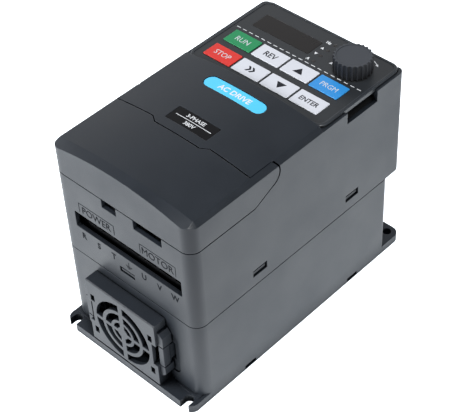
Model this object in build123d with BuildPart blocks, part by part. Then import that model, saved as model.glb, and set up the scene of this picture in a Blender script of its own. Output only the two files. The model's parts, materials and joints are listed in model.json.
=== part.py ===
"""Variable frequency drive, lying on its mounting face.

X is the width, Y runs from the terminal end (fan) to the keypad end, Z leaves the mounting face.
The origin is the middle of the mounting face. All sizes are millimetres.
"""
import os
from math import sqrt

from build123d import *

# ---------------------------------------------------------------- driving dimensions
WIDTH = 85.0
HALF = WIDTH / 2
NEAR_Y = -68.0             # outer face of the terminal-end wall
BASE_FAR_Y = 62.9          # outer face of the base's far wall
UPPER_FAR_Y = 71.5         # outer face of the upper housing's far wall
FLANGE_Y = 75.5            # half length of the mounting flange
FLANGE_T = 4.5
WALL = 2.2
NEAR_R = 6.0               # vertical corner radius, terminal end
FAR_R = 3.0                # vertical corner radius, keypad end

SPLIT_Z = 50.8             # base to upper housing
GROOVE_H = 0.45            # shadow groove round the top of the base
GROOVE_D = 0.7
COVER_Z = 96.5             # upper housing to terminal cover
SHOULDER_Z = 110.0         # top of the side walls
EDGE_X = 40.3              # inner edge of the side chamfer
EDGE_Z = 112.55
CROWN_Z = 115.8            # top of the crowned front face
BEVEL_D = 4.8              # depth of the bevel along the terminal-end edge
END_CROWN_Z = 115.0
END_EDGE_Z = 110.0
END_SHOULDER_Z = 108.8

PART_Y = -28.8             # front parting line of the terminal cover
TONGUE_D = 2.6
TONGUE_TIP = 13.4          # half width of the tongue at its tip and at its root
TONGUE_ROOT = 17.2
PART_GAP = 0.6
LIP_DEPTH = 0.8            # depth at which the lip under the cover starts
PIVOT_Y = -19.6            # terminal cover hinge axis
PIVOT_Z = 107.6
WING_R = 6.0
PIVOT_PIN_R = 1.6
RUN_CLEAR = 0.05           # radial clearance of a running pin

HOLE_X = 37.5              # mounting holes and slots
HOLE_R = 2.25              # round holes, keypad end
SLOT_R = 2.4               # open slots, terminal end
SLOT_Y = -72.0
HOLE_Y = 71.0

SLOT_MID_X = 1.6           # middle of the terminal slot and of its seven poles
SLOT_HALF = 33.4
SLOT_Z = (67.7, 77.0)
POLE_PITCH = 9.6
POLES = 7

KEYPAD_HALF = 40.9
KEYPAD_Y = (15.0, 71.4)
KEYPAD_Z = 111.15
KEYPAD_PLATE = 2.2
KEYPAD_R = 5.0
LEDGE_Z = KEYPAD_Z - KEYPAD_PLATE - 0.25
BAY_HALF = 37.5
BAY_Y = (17.2, 67.0)
KEY_W = 16.4
KEY_H = 9.8
KEY_R = 0.6
KEY_PITCH_X = 17.5
KEY_MID_X = -1.1
KEY_ROWS_Y = (39.1, 25.5)
KEY_GAP = 0.2
KEY_PROUD = 0.35           # height of a key's face above the printed sheet
KNOB_X = 25.2
KNOB_Y = 55.6
KNOB_R = 9.2
KNOB_H = 7.7
KNOB_FLUTES = 24
SHAFT_TOP = 117.2
WINDOW_X = (-32.8, 2.0)
WINDOW_Y = (51.2, 62.2)

GRILLE_Z = 24.3            # height of the grille's centre
FAN_Z = 24.8               # height of the fan axis
FAN_SIZE = 40.0
FAN_Y = (-66.0, -51.0)
FAN_COVER_HALF = 22.25
FAN_COVER_Z = (4.8, 45.2)
FAN_COVER_Y = -75.4
GRILLE_RINGS = ((13.2, 17.5), (7.5, 11.2), (3.3, 5.9))
SPOKE_V = 2.7
SPOKE_H = 2.0
LATCH_Z = (18.9, 31.2)
LATCH_X = 23.6             # latch pivots
LATCH_Y = -69.8
SHOULDER_X = 25.4          # blocks beside the latches
SHOULDER_TOP = 40.0
SHOULDER_LOW = 11.7

SINK_Z = (44.5, 50.3)
SINK_POSTS = ((-33.0, -44.0), (33.0, -44.0), (-33.0, 52.0), (33.0, 52.0))
POWER_BOARD_Z = 57.0
CONTROL_BOARD_Z = 90.0
BOARD_T = 1.6
POWER_TOP = POWER_BOARD_Z + BOARD_T
CONTROL_TOP = CONTROL_BOARD_Z + BOARD_T
LOW_POSTS = ((-34.0, -30.0), (34.0, -30.0), (-34.0, 30.0), (34.0, 30.0))
HIGH_POSTS = ((-32.0, -36.0), (32.0, -36.0), (-32.0, 24.0), (32.0, 24.0))

BADGE = (0.3, 4.3, 35.8, 8.0)         # centre x, y and size of the recess
LABEL = (0.0, -21.8, 25.0, 9.5)

os.makedirs("parts", exist_ok=True)


# ---------------------------------------------------------------- helpers
def at_y(y):
    """Plane facing -Y at y: local x is X, local y is Z."""
    return Plane.XZ.offset(-y)


def at_x(x):
    """Plane facing +X at x: local x is Y, local y is Z."""
    return Plane.YZ.offset(x)


def block(x, y, z, mode=Mode.ADD):
    """A square block between the given (low, high) pairs."""
    with Locations((x[0], y[0], z[0])):
        Box(x[1] - x[0], y[1] - y[0], z[1] - z[0], align=(Align.MIN,) * 3, mode=mode)


def post(x, y, z, radius, mode=Mode.ADD):
    """A round post along Z between the z pair."""
    with Locations((x, y, z[0])):
        Cylinder(radius, z[1] - z[0], align=(Align.CENTER, Align.CENTER, Align.MIN), mode=mode)


def rod_y(x, z, y, radius, mode=Mode.ADD):
    """A round rod along Y between the y pair."""
    with BuildSketch(at_y(y[0])) as end:
        with Locations((x, z)):
            Circle(radius)
    extrude(end.sketch, amount=-(y[1] - y[0]), mode=mode)


def rod_x(y, z, x, radius, mode=Mode.ADD):
    """A round rod along X between the x pair."""
    with BuildSketch(at_x(x[0])) as end:
        with Locations((y, z)):
            Circle(radius)
    extrude(end.sketch, amount=x[1] - x[0], mode=mode)


def plate(x, y, z, radius, mode=Mode.ADD):
    """A block with rounded vertical edges."""
    with BuildSketch(Plane.XY.offset(z[0])) as outline:
        with Locations(((x[0] + x[1]) / 2, (y[0] + y[1]) / 2)):
            RectangleRounded(x[1] - x[0], y[1] - y[0], radius)
    extrude(outline.sketch, amount=z[1] - z[0], mode=mode)


def footprint(inset, far_y, z, mode=Mode.ADD):
    """The housing's outline, inset all round, extruded between the z pair."""
    half = HALF - inset
    low = NEAR_Y + inset
    high = far_y - inset
    with BuildSketch(Plane.XY.offset(z[0])) as outline:
        with Locations((0, (low + high) / 2)):
            Rectangle(2 * half, high - low)
        corners = outline.vertices().sort_by(Axis.Y)
        fillet(corners[:2], NEAR_R - inset)
        corners = outline.vertices().sort_by(Axis.Y)
        fillet(corners[-2:], max(FAR_R - inset, 0.6))
    extrude(outline.sketch, amount=z[1] - z[0], mode=mode)


def crown_section(y, inset, shoulder, edge, crown):
    """Cross-section of the front: side walls, side chamfers and the crowned face."""
    with BuildSketch(at_y(y)) as section:
        with BuildLine():
            Polyline(
                (-EDGE_X, edge), (-HALF, shoulder), (-HALF, 20),
                (HALF, 20), (HALF, shoulder), (EDGE_X, edge),
            )
            ThreePointArc((EDGE_X, edge), (0, crown), (-EDGE_X, edge))
        make_face()
        if inset:
            offset(amount=-inset, kind=Kind.INTERSECTION)
    return section.sketch


def envelope(inset, far_y=UPPER_FAR_Y):
    """Outer form of the upper housing and terminal cover together, or its inside when inset."""
    with BuildPart() as form:
        front = crown_section(NEAR_Y + BEVEL_D, inset, SHOULDER_Z, EDGE_Z, CROWN_Z)
        end = crown_section(NEAR_Y + inset, inset, END_SHOULDER_Z, END_EDGE_Z, END_CROWN_Z)
        extrude(front, amount=-(far_y - inset - NEAR_Y - BEVEL_D))
        loft([end, front], ruled=True)
        footprint(inset, far_y, (SPLIT_Z, CROWN_Z + 1), mode=Mode.INTERSECT)
    return form.part


def wing_outline(gap, end_gap):
    """Side view of the terminal cover with its two round-ended wings, grown by the gaps."""
    low = COVER_Z - gap
    with BuildSketch(at_x(-HALF - 2)) as outline:
        with BuildLine():
            Polyline(
                (NEAR_Y - 5, 125), (NEAR_Y - 5, low), (-29.2, low),
                (-17.06 + gap / 2, 102.16 - gap), (PIVOT_Y, PIVOT_Z), (PIVOT_Y, 125),
                (NEAR_Y - 5, 125),
            )
        make_face()
        with Locations((PIVOT_Y, PIVOT_Z)):
            Circle(WING_R + end_gap)
    return outline.sketch


def front_behind(y, side, form, lip_form):
    """What lies behind the front parting line, with the 45 degree lip that tucks under the cover.

    The lip stays inside lip_form, so it can start below the outer face.
    """
    with BuildPart() as region:
        with BuildSketch(Plane.XY.offset(80)) as plan:
            with BuildLine():
                Polyline(
                    (-side, y), (-TONGUE_ROOT, y), (-TONGUE_TIP, y - TONGUE_D),
                    (TONGUE_TIP, y - TONGUE_D), (TONGUE_ROOT, y), (side, y),
                    (side, 10), (-side, 10), (-side, y),
                )
            make_face()
        extrude(plan.sketch, amount=45)
        add(form, mode=Mode.INTERSECT)
    near_faces = [f for f in region.faces() if f.normal_at().Y < -0.5 and f.center().Y < 0]
    with BuildPart() as lip:
        for face in near_faces:
            extrude(face, amount=2 * WALL * sqrt(2), dir=(0, -1, -1))
        add(lip_form, mode=Mode.INTERSECT)
    with BuildPart() as both:
        add(region.part)
        add(lip.part)
    return both.part


def front_inlay(x, y, width, height, radius, top, floor):
    """A flat-plan inlay in the crowned face, between two depths below the surface."""
    with BuildPart() as inlay:
        upper = crown_section(y - height, top, SHOULDER_Z, EDGE_Z, CROWN_Z)
        lower = crown_section(y - height, floor, SHOULDER_Z, EDGE_Z, CROWN_Z)
        extrude(upper, amount=-2 * height)
        extrude(lower, amount=-2 * height, mode=Mode.SUBTRACT)
        with BuildSketch(Plane.XY.offset(105)) as outline:
            with Locations((x, y)):
                RectangleRounded(width, height, radius)
        extrude(outline.sketch, amount=15, mode=Mode.INTERSECT)
    return inlay.part


def save(builder, name):
    """Label a finished piece and write its STEP file."""
    builder.part.label = name
    export_step(builder.part, f"parts/{name}.step")


# ---------------------------------------------------------------- base housing
with BuildPart() as base_housing:
    footprint(0, BASE_FAR_Y, (0, SPLIT_Z - GROOVE_H))
    footprint(GROOVE_D, BASE_FAR_Y, (SPLIT_Z - GROOVE_H - 0.1, SPLIT_Z))
    plate((-HALF, HALF), (-FLANGE_Y, FLANGE_Y), (0, FLANGE_T), 4.5)
    # low ribs along the foot of the terminal-end wall, either side of the fan cover
    for side in (-1, 1):
        x_rib = sorted((side * 26.8, side * 40.6))
        block(x_rib, (NEAR_Y - 1.3, NEAR_Y + 1.8), (FLANGE_T - 0.5, FLANGE_T + 0.4))
    footprint(WALL, BASE_FAR_Y, (2.6, SPLIT_Z + 1), mode=Mode.SUBTRACT)
    for side in (-1, 1):
        post(side * HOLE_X, HOLE_Y, (-1, 6), HOLE_R, mode=Mode.SUBTRACT)
        post(side * HOLE_X, SLOT_Y, (-1, 6), SLOT_R, mode=Mode.SUBTRACT)
        x = side * HOLE_X
        block((x - SLOT_R, x + SLOT_R), (-FLANGE_Y - 1, SLOT_Y), (-1, 6), mode=Mode.SUBTRACT)
    # fan opening with a slot each side for the latch tails
    block((-20.8, 20.8), (NEAR_Y - 1, NEAR_Y + 4), (FLANGE_T, 45.15), mode=Mode.SUBTRACT)
    for side in (-1, 1):
        x_slot = sorted((side * 22.9, side * 26.4))
        block(x_slot, (NEAR_Y - 1, NEAR_Y + 4), (LATCH_Z[0] + 0.6, LATCH_Z[1] - 0.6), mode=Mode.SUBTRACT)
    # shallow finger recesses beside the latches
    for side in (-1, 1):
        with BuildSketch(at_y(NEAR_Y)) as dish:
            with Locations((side * 25.4, GRILLE_Z)):
                RectangleRounded(7.4, 25.6, 3.4)
        extrude(dish.sketch, amount=-0.6, mode=Mode.SUBTRACT)
    # air outlet slots in the far wall
    with BuildSketch(at_y(BASE_FAR_Y)) as outlet:
        with Locations((0, 26)):
            with GridLocations(6.4, 0, 11, 1):
                SlotOverall(34, 3.4, rotation=90)
    extrude(outlet.sketch, amount=5, both=True, mode=Mode.SUBTRACT)
    # feet of the side walls: two low slots a side
    for side in (-1, 1):
        for y in (-39.9, 33.8):
            x_slot = sorted((side * (HALF - 2), side * (HALF + 1)))
            block(x_slot, (y, y + 7.3), (0.6, 2.7), mode=Mode.SUBTRACT)
    # snap hooks that catch in the upper housing's windows
    for side in (-1, 1):
        for y in (-32.0, 31.2):
            x_arm = sorted((side * (HALF - WALL - 1.9), side * (HALF - WALL - 0.1)))
            x_root = sorted((side * (HALF - WALL - 1.9), side * (HALF - 1)))
            x_nose = sorted((side * (HALF - WALL - 1.9), side * (HALF - 0.8)))
            block(x_root, (y + 0.4, y + 8.6), (40, SPLIT_Z - 0.8))
            block(x_arm, (y + 0.4, y + 8.6), (SPLIT_Z - 0.8, 58.6))
            block(x_nose, (y + 0.5, y + 8.5), (56.9, 58.4))
    block((-4.3, 4.3), (NEAR_Y + 1, NEAR_Y + WALL + 1.9), (SPLIT_Z - 3, SPLIT_Z - 0.8))
    block((-4.3, 4.3), (NEAR_Y + WALL + 0.1, NEAR_Y + WALL + 1.9), (SPLIT_Z - 0.8, 58.9))
    block((-4.3, 4.3), (NEAR_Y + 0.5, NEAR_Y + WALL + 1.9), (57.5, 58.7))
    # corner pillars that carry the heat sink
    for x, y in SINK_POSTS:
        post(x, y, (2.0, SINK_Z[0]), 3.6)
        post(x, y, (30, 45), 1.25, mode=Mode.SUBTRACT)
    # shallow coring pockets in the mounting face
    for x in (-20.0, 20.0):
        for y in (-34.0, 0.0, 34.0):
            plate((x - 15, x + 15), (y - 13, y + 13), (-0.5, 0.8), 3, mode=Mode.SUBTRACT)
save(base_housing, "base_housing")

# ---------------------------------------------------------------- upper housing
shell_outer = envelope(0)
shell_inner = envelope(WALL)
lip_limit = envelope(LIP_DEPTH)
standing_skin = front_behind(PART_Y, EDGE_X - 0.3, shell_outer, lip_limit)
skin_and_gap = front_behind(PART_Y - PART_GAP, EDGE_X, shell_outer, shell_outer)
badge_recess = front_inlay(*BADGE, 3.9, 0, 0.9)
label_recess = front_inlay(*LABEL, 0.5, 0, 0.35)

with BuildPart() as cavity:
    add(shell_inner)
    block((-50, 50), (KEYPAD_Y[0] - 0.3 - WALL, 80), (LEDGE_Z - WALL, 120), mode=Mode.SUBTRACT)

# rounding of the lower far edge
with BuildPart() as edge_waste:
    block((-50, 50), (UPPER_FAR_Y - 3.6, UPPER_FAR_Y + 1), (SPLIT_Z - 1, SPLIT_Z + 3.6))
    rod_x(UPPER_FAR_Y - 3.6, SPLIT_Z + 3.6, (-51, 51), 3.6, mode=Mode.SUBTRACT)

# terminal cover opening, with the skin behind the parting line left standing
with BuildPart() as cover_zone:
    extrude(wing_outline(0.55, 0.8), amount=WIDTH + 4)
    add(standing_skin, mode=Mode.SUBTRACT)

with BuildPart() as upper_housing:
    add(shell_outer)
    block((-50, 50), (KEYPAD_Y[0] - 0.3, 80), (SHOULDER_Z, 120), mode=Mode.SUBTRACT)
    add(cavity.part, mode=Mode.SUBTRACT)
    # closed floor under the overhang past the base
    block((-HALF + 1, HALF - 1), (BASE_FAR_Y, UPPER_FAR_Y - 1), (SPLIT_Z, SPLIT_Z + 3.0))
    add(edge_waste.part, mode=Mode.SUBTRACT)
    add(cover_zone.part, mode=Mode.SUBTRACT)
    # hinge ears inside the wings
    for side in (-1, 1):
        x_ear = sorted((side * 37.6, side * (EDGE_X - 0.3)))
        x_foot = sorted((side * 37.6, side * (HALF - 1)))
        block(x_ear, (-27.5, -10.5), (93, 110.8))
        block(x_foot, (-27.5, -10.5), (92, 95.4))
        block(x_foot, (-12.0, -10.5), (92, 110.6))
        x_bore = sorted((side * 36, side * 41))
        rod_x(PIVOT_Y, PIVOT_Z, x_bore, PIVOT_PIN_R + RUN_CLEAR, mode=Mode.SUBTRACT)
    # terminal slot and the two control cable notches
    with BuildSketch(at_y(NEAR_Y)) as slots:
        with Locations((SLOT_MID_X, (SLOT_Z[0] + SLOT_Z[1]) / 2)):
            RectangleRounded(2 * SLOT_HALF, SLOT_Z[1] - SLOT_Z[0], 0.8)
        with Locations((-7.2, COVER_Z - 1.6)):
            Rectangle(9.0, 7.0)
        with Locations((16.5, COVER_Z - 1.8)):
            Rectangle(17.2, 7.6)
    extrude(slots.sketch, amount=-4, mode=Mode.SUBTRACT)
    # snap windows for the base's hooks
    for y in (-32.0, 31.2):
        block((-HALF - 1, HALF + 1), (y, y + 9), (56.2, 60.2), mode=Mode.SUBTRACT)
    block((-4.7, 4.7), (NEAR_Y - 1, NEAR_Y + 4), (56.9, 60.0), mode=Mode.SUBTRACT)
    # keypad seat and bay
    seat_half = KEYPAD_HALF + 0.25
    seat_y = (KEYPAD_Y[0] - 0.3, KEYPAD_Y[1] + 0.25)
    plate((-seat_half, seat_half), seat_y, (LEDGE_Z, 120), KEYPAD_R, mode=Mode.SUBTRACT)
    # the keypad covers the top of the far wall
    block((-38.6, 38.6), (UPPER_FAR_Y - 5, UPPER_FAR_Y + 1), (LEDGE_Z, 120), mode=Mode.SUBTRACT)
    plate((-BAY_HALF, BAY_HALF), BAY_Y, (LEDGE_Z - 5, LEDGE_Z + 1), 2, mode=Mode.SUBTRACT)
    # finger notch under the right-hand edge of the keypad, open to the inside
    block((38.9, HALF + 1), (31.2, 52.0), (104.0, 120), mode=Mode.SUBTRACT)
    add(badge_recess, mode=Mode.SUBTRACT)
    add(label_recess, mode=Mode.SUBTRACT)
save(upper_housing, "upper_housing")

# ---------------------------------------------------------------- terminal cover
with BuildPart() as terminal_cover:
    add(shell_outer)
    add(shell_inner, mode=Mode.SUBTRACT)
    extrude(wing_outline(0, 0), amount=WIDTH + 4, mode=Mode.INTERSECT)
    add(skin_and_gap, mode=Mode.SUBTRACT)
    block((-EDGE_X, EDGE_X), (PART_Y - 0.2, 20), (80, 125), mode=Mode.SUBTRACT)
    for side in (-1, 1):
        rod_x(PIVOT_Y, PIVOT_Z, sorted((side * 38.0, side * 41.4)), PIVOT_PIN_R)
save(terminal_cover, "terminal_cover")

# ---------------------------------------------------------------- inlays on the front
badge_plate = front_inlay(BADGE[0], BADGE[1], BADGE[2] - 0.6, BADGE[3] - 0.6, 3.6, 0.2, 0.85)
label_plate = front_inlay(LABEL[0], LABEL[1], LABEL[2] - 0.2, LABEL[3] - 0.2, 0.45, 0.05, 0.35)

with BuildPart() as badge:
    add(badge_plate)
save(badge, "badge")

with BuildPart() as rating_label:
    add(label_plate)
save(rating_label, "rating_label")

# ---------------------------------------------------------------- keypad module
OVERLAY_Z = KEYPAD_Z - 0.2                 # top of the printed sheet
PLATE_Z = KEYPAD_Z - KEYPAD_PLATE
KEY_SPOTS = [(KEY_MID_X + (c - 1.5) * KEY_PITCH_X, y) for y in KEY_ROWS_Y for c in range(4)]
KEY_NAMES = (
    "key_run", "key_reverse", "key_up", "key_program",
    "key_stop", "key_shift", "key_down", "key_enter",
)
WINDOW_MID = ((WINDOW_X[0] + WINDOW_X[1]) / 2, (WINDOW_Y[0] + WINDOW_Y[1]) / 2)
WINDOW_SIZE = (WINDOW_X[1] - WINDOW_X[0], WINDOW_Y[1] - WINDOW_Y[0])
LED_SPOTS = [(7.5, 49.0 + 5.05 * n) for n in range(4)]
KEYPAD_BOARD_Z = 101.6


def keypad_openings(z, gap):
    """Cut the key, window, knob shaft and lamp openings through a sheet of the panel."""
    with BuildSketch(Plane.XY.offset(z[0])) as holes:
        with Locations(*KEY_SPOTS):
            RectangleRounded(KEY_W + 2 * gap, KEY_H + 2 * gap, KEY_R + gap)
        with Locations(WINDOW_MID):
            RectangleRounded(WINDOW_SIZE[0] + 0.1, WINDOW_SIZE[1] + 0.1, 0.8)
        with Locations((KNOB_X, KNOB_Y)):
            Circle(4.0)
        with Locations(*LED_SPOTS):
            Circle(0.95)
    extrude(holes.sketch, amount=z[1] - z[0], mode=Mode.SUBTRACT)


with BuildPart() as keypad_housing:
    plate((-KEYPAD_HALF, KEYPAD_HALF), KEYPAD_Y, (PLATE_Z, KEYPAD_Z), KEYPAD_R)
    chamfer(keypad_housing.faces().sort_by(Axis.Z)[-1].outer_wire().edges(), 0.35)
    inlay_y = (KEYPAD_Y[0] + 1.5, KEYPAD_Y[1] - 1.5)
    plate((-39.4, 39.4), inlay_y, (OVERLAY_Z - 0.4, 120), 3.6, mode=Mode.SUBTRACT)
    plate((-37.0, 37.0), (BAY_Y[0] + 0.5, BAY_Y[1] - 0.5), (99.5, PLATE_Z), 2)
    plate((-36.1, 36.1), (BAY_Y[0] + 1.6, BAY_Y[1] - 1.6), (99, PLATE_Z), 1, mode=Mode.SUBTRACT)
    keypad_openings((PLATE_Z - 1, KEYPAD_Z + 1), KEY_GAP)
save(keypad_housing, "keypad_housing")

with BuildPart() as keypad_overlay:
    plate((-39.3, 39.3), (KEYPAD_Y[0] + 1.6, KEYPAD_Y[1] - 1.6), (OVERLAY_Z - 0.4, OVERLAY_Z), 3.5)
    keypad_openings((OVERLAY_Z - 1, OVERLAY_Z + 1), KEY_GAP)
save(keypad_overlay, "keypad_overlay")

with BuildPart() as display_window:
    plate(WINDOW_X, WINDOW_Y, (PLATE_Z + 0.4, OVERLAY_Z + 0.05), 0.75)
save(display_window, "display_window")

with BuildPart() as display_module:
    middle = WINDOW_MID[0]
    block((middle - 16.5, middle + 16.5), (50.4, 63.4), (KEYPAD_BOARD_Z + BOARD_T, PLATE_Z - 0.3))
    for n in range(4):
        left = middle - 15.4 + 7.8 * n
        block((left, left + 7.4), (51.4, 62.4), (PLATE_Z - 0.8, 120), mode=Mode.SUBTRACT)
        block((left + 1.4, left + 2.4), (53, 61), (PLATE_Z - 1, PLATE_Z - 0.4))
        block((left + 5.0, left + 6.0), (53, 61), (PLATE_Z - 1, PLATE_Z - 0.4))
        block((left + 1.4, left + 6.0), (56.5, 57.5), (PLATE_Z - 1, PLATE_Z - 0.4))
save(display_module, "display_module")

for key_name, (key_x, key_y) in zip(KEY_NAMES, KEY_SPOTS):
    key_span = (key_x - KEY_W / 2, key_x + KEY_W / 2)
    cap_depth = (key_y - KEY_H / 2, key_y + KEY_H / 2)
    flange_depth = (cap_depth[0] - 0.6, cap_depth[1] + 0.6)
    with BuildPart() as key:
        plate(key_span, cap_depth, (108.0, OVERLAY_Z + KEY_PROUD), KEY_R)
        fillet(key.faces().sort_by(Axis.Z)[-1].outer_wire().edges(), 0.22)
        plate(key_span, flange_depth, (107.4, 108.55), KEY_R)
        post(key_x, key_y, (105.9, 107.5), 1.6)
    save(key, key_name)

with BuildPart() as keypad_board:
    plate((-34.4, 34.4), (22.7, 64.7), (KEYPAD_BOARD_Z, KEYPAD_BOARD_Z + BOARD_T), 1)
save(keypad_board, "keypad_board")

with BuildPart() as tact_switches:
    top = KEYPAD_BOARD_Z + BOARD_T
    for key_x, key_y in KEY_SPOTS:
        block((key_x - 3, key_x + 3), (key_y - 3, key_y + 3), (top, top + 1.4))
        post(key_x, key_y, (top + 1.3, 105.2), 1.5)
save(tact_switches, "tact_switches")

with BuildPart() as indicator_leds:
    for lamp_x, lamp_y in LED_SPOTS:
        post(lamp_x, lamp_y, (KEYPAD_BOARD_Z + BOARD_T, OVERLAY_Z + 0.05), 0.85)
save(indicator_leds, "indicator_leds")

with BuildPart() as potentiometer_body:
    case_x = (KNOB_X - 6.0, KNOB_X + 6.0)
    case_y = (KNOB_Y - 6.0, KNOB_Y + 6.0)
    plate(case_x, case_y, (KEYPAD_BOARD_Z + BOARD_T, 108.2), 1)
    post(KNOB_X, KNOB_Y, (103.9, 120), 3.0 + RUN_CLEAR, mode=Mode.SUBTRACT)
save(potentiometer_body, "potentiometer_body")

with BuildPart() as potentiometer_shaft:
    post(KNOB_X, KNOB_Y, (104.0, SHAFT_TOP), 3.0)
    chamfer(potentiometer_shaft.faces().sort_by(Axis.Z)[-1].edges(), 0.4)
    block((KNOB_X - 4, KNOB_X + 4), (KNOB_Y + 1.5, KNOB_Y + 4), (113, 120), mode=Mode.SUBTRACT)
save(potentiometer_shaft, "potentiometer_shaft")

with BuildPart() as speed_knob:
    knob_low = KEYPAD_Z + 0.45
    post(KNOB_X, KNOB_Y, (knob_low, knob_low + KNOB_H), KNOB_R)
    fillet(speed_knob.faces().sort_by(Axis.Z)[-1].edges(), 0.35)
    with BuildSketch(Plane.XY.offset(knob_low)) as flutes:
        with Locations((KNOB_X, KNOB_Y)):
            with PolarLocations(KNOB_R + 0.2, KNOB_FLUTES):
                Circle(1.0)
    extrude(flutes.sketch, amount=KNOB_H, mode=Mode.SUBTRACT)
    # dished top
    post(KNOB_X, KNOB_Y, (knob_low + KNOB_H - 0.2, 125), 7.8, mode=Mode.SUBTRACT)
    with BuildSketch(Plane.XY.offset(knob_low)) as bore:
        with Locations((KNOB_X, KNOB_Y)):
            Circle(3.02)
    extrude(bore.sketch, amount=SHAFT_TOP + 0.1 - knob_low, mode=Mode.SUBTRACT)
    block((KNOB_X - 2.5, KNOB_X + 2.5), (KNOB_Y + 1.55, KNOB_Y + 4), (113.1, SHAFT_TOP + 0.1))
save(speed_knob, "speed_knob")

with BuildPart() as keypad_connector:
    block((-30, -8), (44, 50), (CONTROL_TOP + 0.4, KEYPAD_BOARD_Z))
save(keypad_connector, "keypad_connector")

# ---------------------------------------------------------------- fan, fan cover and latches
COVER_BACK = NEAR_Y - 0.3
GRILLE_T = 2.0

with BuildPart() as fan_cover:
    block((-FAN_COVER_HALF, FAN_COVER_HALF), (FAN_COVER_Y, COVER_BACK), FAN_COVER_Z)
    for side in (-1, 1):
        x_block = sorted((side * (FAN_COVER_HALF - 0.5), side * SHOULDER_X))
        block(x_block, (-73.9, COVER_BACK), (31.8, SHOULDER_TOP))
        block(x_block, (-73.9, COVER_BACK), (SHOULDER_LOW, 18.3))
    # sloping ends of the blocks above and below the latches
    for z in (SHOULDER_TOP, SHOULDER_LOW):
        level = fan_cover.edges().filter_by(Axis.Y).filter_by_position(Axis.Z, z - 0.1, z + 0.1)
        level = level.sort_by(Axis.X)
        chamfer([level[0], level[-1]], 2.0)
    face_band = (FAN_COVER_Y - 0.1, FAN_COVER_Y + 0.1)
    outer_edges = fan_cover.edges().filter_by(Axis.X).filter_by_position(Axis.Y, *face_band)
    fillet(outer_edges, 0.8)
    inside_z = (FAN_COVER_Z[0] + 1.6, FAN_COVER_Z[1] - 1.8)
    block((-20.5, 20.5), (FAN_COVER_Y + GRILLE_T, 0), inside_z, mode=Mode.SUBTRACT)
    # grille: ring slots crossed by one upright and one level spoke
    with BuildSketch(at_y(FAN_COVER_Y)) as grille:
        for inner, outer in GRILLE_RINGS:
            with Locations((0, GRILLE_Z)):
                Circle(outer)
                Circle(inner, mode=Mode.SUBTRACT)
        with Locations((0, GRILLE_Z)):
            Rectangle(SPOKE_V, 50, mode=Mode.SUBTRACT)
            Rectangle(50, SPOKE_H, mode=Mode.SUBTRACT)
        with Locations((-18.7, 34.9), (18.7, 34.9), (-18.7, 13.1), (18.7, 13.1)):
            Rectangle(2.6, 4.0)
    extrude(grille.sketch, amount=-(GRILLE_T + 0.5), mode=Mode.SUBTRACT)
    # slots that free the two latches
    for side in (-1, 1):
        x_slot = sorted((side * 19.6, side * 30))
        z_slot = (LATCH_Z[0] - 0.6, LATCH_Z[1] + 0.6)
        block(x_slot, (FAN_COVER_Y - 1, 0), z_slot, mode=Mode.SUBTRACT)
        post(side * LATCH_X, LATCH_Y, (17.3, 33.0), 0.65, mode=Mode.SUBTRACT)
    # pegs that carry the fan by its corner holes
    for x in (-16.0, 16.0):
        for z in (FAN_Z - 16.0, FAN_Z + 16.0):
            rod_y(x, z, (FAN_COVER_Y + GRILLE_T - 0.5, FAN_Y[0]), 2.8)
            rod_y(x, z, (FAN_Y[0] - 0.5, FAN_Y[0] + 6), 1.55)
save(fan_cover, "fan_cover")

for side, latch_name in ((-1, "fan_latch_left"), (1, "fan_latch_right")):
    with BuildPart() as latch:
        x_grip = sorted((side * 22.4, side * 25.3))
        x_tail = sorted((side * 23.4, side * 24.6))
        x_nose = sorted((side * 23.2, side * 24.6))
        block(x_grip, (-73.9, -70.2), LATCH_Z)
        block(sorted((side * 22.9, side * 24.6)), (-70.7, -68.9), LATCH_Z)
        block(x_tail, (-69.0, -64.6), (LATCH_Z[0] + 1.6, LATCH_Z[1] - 1.6))
        block(x_nose, (-65.4, -64.6), (LATCH_Z[0] + 1.6, LATCH_Z[1] - 1.6))
        post(side * LATCH_X, LATCH_Y, (17.6, 32.7), 0.6)
    save(latch, latch_name)

with BuildPart() as fan_frame:
    half = FAN_SIZE / 2
    with BuildSketch(at_y(FAN_Y[0])) as frame_outline:
        with Locations((0, FAN_Z)):
            RectangleRounded(FAN_SIZE, FAN_SIZE, 3)
            Circle(18.9, mode=Mode.SUBTRACT)
            with GridLocations(32, 32, 2, 2):
                Circle(1.7, mode=Mode.SUBTRACT)
    extrude(frame_outline.sketch, amount=-(FAN_Y[1] - FAN_Y[0]))
    # motor mount and its four struts on the outlet side
    rod_y(0, FAN_Z, (FAN_Y[1] - 1.6, FAN_Y[1]), 11.0)
    with BuildSketch(at_y(FAN_Y[1])) as struts:
        with Locations((0, FAN_Z)):
            Rectangle(39, 2.4)
            Rectangle(2.4, 39)
    extrude(struts.sketch, amount=1.6)
    rod_y(0, FAN_Z, (FAN_Y[0] + 5.5, FAN_Y[1] - 1), 2.6)
    rod_y(0, FAN_Z, (FAN_Y[0], FAN_Y[1] - 0.8), 1.5, mode=Mode.SUBTRACT)
save(fan_frame, "fan_frame")

with BuildPart() as fan_bearing:
    rod_y(0, FAN_Z, (FAN_Y[0] + 5.6, FAN_Y[1] - 1.6), 1.45)
    rod_y(0, FAN_Z, (FAN_Y[0], FAN_Y[1]), 0.8 + RUN_CLEAR, mode=Mode.SUBTRACT)
save(fan_bearing, "fan_bearing")

with BuildPart() as fan_shaft:
    rod_y(0, FAN_Z, (FAN_Y[0] + 1.6, FAN_Y[1] - 2.0), 0.8)
save(fan_shaft, "fan_shaft")

with BuildPart() as fan_stator:
    with BuildSketch(at_y(FAN_Y[0] + 6.6)) as core:
        with Locations((0, FAN_Z)):
            Circle(8.6)
            with PolarLocations(6.6, 4, start_angle=45):
                Circle(1.5, mode=Mode.SUBTRACT)
            Circle(2.65, mode=Mode.SUBTRACT)
    extrude(core.sketch, amount=-4.6)
save(fan_stator, "fan_stator")

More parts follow.
